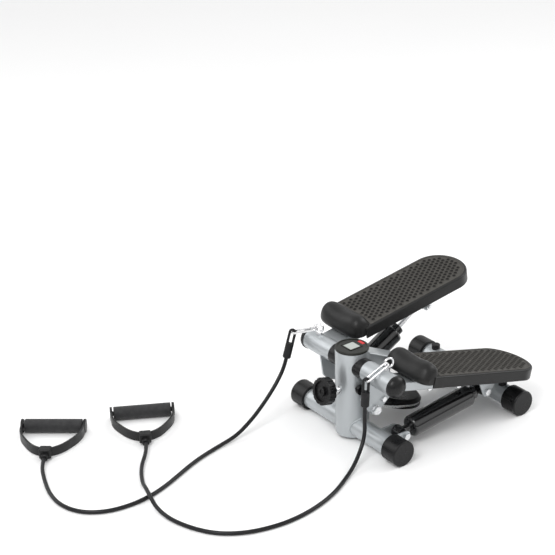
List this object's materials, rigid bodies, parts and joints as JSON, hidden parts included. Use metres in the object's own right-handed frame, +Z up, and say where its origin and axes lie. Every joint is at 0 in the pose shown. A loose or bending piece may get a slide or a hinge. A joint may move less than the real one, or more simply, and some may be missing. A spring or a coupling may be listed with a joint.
{
  "type": "stepper",
  "caption": "Mini stepper with two pedals on pivoting arms, oil dampers, a pulley link, a height knob, a counter, and two resistance bands with D handles.",
  "frame": {"origin": "middle of the base of the box round everything except the two free band cords, on the floor", "axes": "+Z up, +Y to the rear where the user stands on the pedals, +X to the user's left; the console column is at the front"},
  "size_m": [0.6274, 0.9828, 0.2444],
  "materials": {
    "frame_paint": "silver-grey powder coat, satin",
    "black_plastic": "moulded, fine grain",
    "console_plastic": "moulded, fine grain",
    "lcd_panel": "display window",
    "button_red": "smooth",
    "zinc_steel": "zinc plated",
    "chrome": "bright plated",
    "damper_black": "gloss black",
    "pedal_plastic": "moulded, fine grain",
    "pedal_mat": "studded tread",
    "rubber_black": "matt",
    "band_rubber": "smooth latex tube",
    "grip_foam": "foam",
    "handle_plastic": "webbing-like moulded strap",
    "nylon_white": "turned",
    "cable_coat": "plastic-coated steel rope, light grey"
  },
  "bodies": {
    "frame": {"front_base_tube": "frame_paint", "rear_base_tube": "frame_paint", "base_end_caps": "black_plastic", "column_tube": "frame_paint", "spine_tube": "frame_paint", "pivot_axle": "zinc_steel", "hub_spacers": "black_plastic", "damper_lower_lugs": "frame_paint", "damper_lower_bolts": "zinc_steel", "rear_buffers": "rubber_black", "counter_sensor": "black_plastic", "console_housing": "console_plastic", "lcd_screen": "lcd_panel", "knob_collar": "zinc_steel", "link_cable": "cable_coat", "handle_yokes": "handle_plastic", "band_cord_left": "band_rubber", "band_cord_right": "band_rubber"},
    "button": {"console_button": "button_red"},
    "knob": {"knob_grip": "black_plastic", "knob_screw": "zinc_steel"},
    "yoke": {"pulley_yoke": "black_plastic", "pulley_axle": "zinc_steel"},
    "wheel": {"pulley_wheel": "black_plastic"},
    "arm_left": {"arm_sleeve_left": "frame_paint", "sleeve_bushes_left": "nylon_white", "sleeve_cap_left": "black_plastic", "arm_tube_left": "frame_paint", "lever_plate_left": "frame_paint", "damper_upper_lugs_left": "frame_paint", "arm_hardware_left": "zinc_steel", "pedal_shell_left": "pedal_plastic", "pedal_mat_left": "pedal_mat", "eyebolt_left": "chrome"},
    "hook_left": {"snap_hook_left": "chrome", "cord_crimp_left": "rubber_black"},
    "gate_left": {"hook_gate_left": "chrome"},
    "barrel_left": {"damper_body_left": "damper_black", "damper_bush_left": "rubber_black"},
    "rod_left": {"damper_rod_left": "chrome", "rod_end_left": "black_plastic"},
    "grip_left": {"handle_grip_left": "grip_foam"},
    "arm_right": {"arm_sleeve_right": "frame_paint", "sleeve_bushes_right": "nylon_white", "sleeve_cap_right": "black_plastic", "arm_tube_right": "frame_paint", "lever_plate_right": "frame_paint", "damper_upper_lugs_right": "frame_paint", "arm_hardware_right": "zinc_steel", "pedal_shell_right": "pedal_plastic", "pedal_mat_right": "pedal_mat", "eyebolt_right": "chrome"},
    "hook_right": {"snap_hook_right": "chrome", "cord_crimp_right": "rubber_black"},
    "gate_right": {"hook_gate_right": "chrome"},
    "barrel_right": {"damper_body_right": "damper_black", "damper_bush_right": "rubber_black"},
    "rod_right": {"damper_rod_right": "chrome", "rod_end_right": "black_plastic"},
    "grip_right": {"handle_grip_right": "grip_foam"}
  },
  "joints": [
    {"name": "left_arm", "type": "hinge", "parent": "frame", "child": "arm_left", "pos_m": [0.1357, 0.09064, 0.1615], "axis": [1, 0, 0], "range_deg": [0, 23.7], "deforming": ["link_cable", "band_cord_left"]},
    {"name": "right_arm", "type": "hinge", "parent": "frame", "child": "arm_right", "pos_m": [0.1357, 0.09064, 0.1615], "axis": [1, 0, 0], "range_deg": [-23.7, 0], "deforming": ["band_cord_right"]},
    {"name": "damper_swing_left", "type": "hinge", "parent": "frame", "child": "barrel_left", "pos_m": [0.2397, 0.12814, 0.0335], "axis": [1, 0, 0], "range_deg": [0, 23.8]},
    {"name": "damper_rod_left", "type": "slide", "parent": "barrel_left", "child": "rod_left", "axis": [0, 0.9933, 0.1158], "range_m": [0, 0.055]},
    {"name": "damper_swing_right", "type": "hinge", "parent": "frame", "child": "barrel_right", "pos_m": [0.0317, 0.12814, 0.0335], "axis": [1, 0, 0], "range_deg": [-22.9, 0]},
    {"name": "damper_rod_right", "type": "slide", "parent": "barrel_right", "child": "rod_right", "axis": [0, 0.8668, 0.4986], "range_m": [-0.055, 0]},
    {"name": "pulley_travel", "type": "slide", "parent": "frame", "child": "yoke", "axis": [0, 0.9703, -0.2419], "range_m": [-0.0025, 0.0115]},
    {"name": "height_knob", "type": "hinge", "parent": "frame", "child": "knob", "pos_m": [0.1357, 0.05714, 0.11], "axis": [0, 0.9703, -0.2419], "range_deg": [-602, 2765]},
    {"name": "pulley_turn", "type": "hinge", "parent": "yoke", "child": "wheel", "pos_m": [0.1357, 0.19464, 0.05], "axis": [0, 0.2419, 0.9703], "range_deg": [-33, 33]},
    {"name": "mode_button", "type": "slide", "parent": "frame", "child": "button", "axis": [0, 0, -1], "range_m": [0, 0.0015], "stiffness_N_per_m": 200, "springref_m": -0.0004},
    {"name": "hook_swing_left", "type": "hinge", "parent": "frame", "child": "hook_left", "pos_m": [0.2367, 0.08541, 0.1105], "axis": [1, 0, 0], "range_deg": [0, 10.1]},
    {"name": "hook_gate_left", "type": "hinge", "parent": "hook_left", "child": "gate_left", "pos_m": [0.22135, 0.06865, 0.17549], "axis": [0.129, 0.4986, -0.8572], "range_deg": [0, 18], "stiffness_Nm_per_rad": 0.05, "springref_deg": -5.73},
    {"name": "grip_turn_left", "type": "hinge", "parent": "frame", "child": "grip_left", "pos_m": [-0.1853, -0.20736, 0.0143], "axis": [0.4924, 0.8704, 0], "continuous": true},
    {"name": "hook_swing_right", "type": "hinge", "parent": "frame", "child": "hook_right", "pos_m": [0.0347, 0.08541, 0.1105], "axis": [1, 0, 0], "range_deg": [-10.1, 0]},
    {"name": "hook_gate_right", "type": "hinge", "parent": "hook_right", "child": "gate_right", "pos_m": [-0.00119, 0.06693, 0.18681], "axis": [0.2238, 0.1749, -0.9588], "range_deg": [0, 18], "stiffness_Nm_per_rad": 0.05, "springref_deg": -5.73},
    {"name": "grip_turn_right", "type": "hinge", "parent": "frame", "child": "grip_right", "pos_m": [-0.2493, -0.38036, 0.0143], "axis": [0.6307, 0.776, 0], "continuous": true}
  ],
  "couplings": [
    {"joint": "right_arm", "follows": "left_arm", "ratio": -1},
    {"joint": "damper_swing_left", "follows": "left_arm", "ratio": 0.99886},
    {"joint": "damper_rod_left", "follows": "left_arm", "m_per_rad": 0.13247},
    {"joint": "damper_swing_right", "follows": "left_arm", "ratio": -0.96149},
    {"joint": "damper_rod_right", "follows": "left_arm", "m_per_rad": -0.13217},
    {"joint": "pulley_turn", "follows": "left_arm", "ratio": 1.348},
    {"joint": "hook_swing_left", "follows": "left_arm", "ratio": 0.42194},
    {"joint": "hook_swing_right", "follows": "left_arm", "ratio": -0.42194},
    {"joint": "height_knob", "follows": "pulley_travel", "rad_per_m": 4188.8}
  ]
}
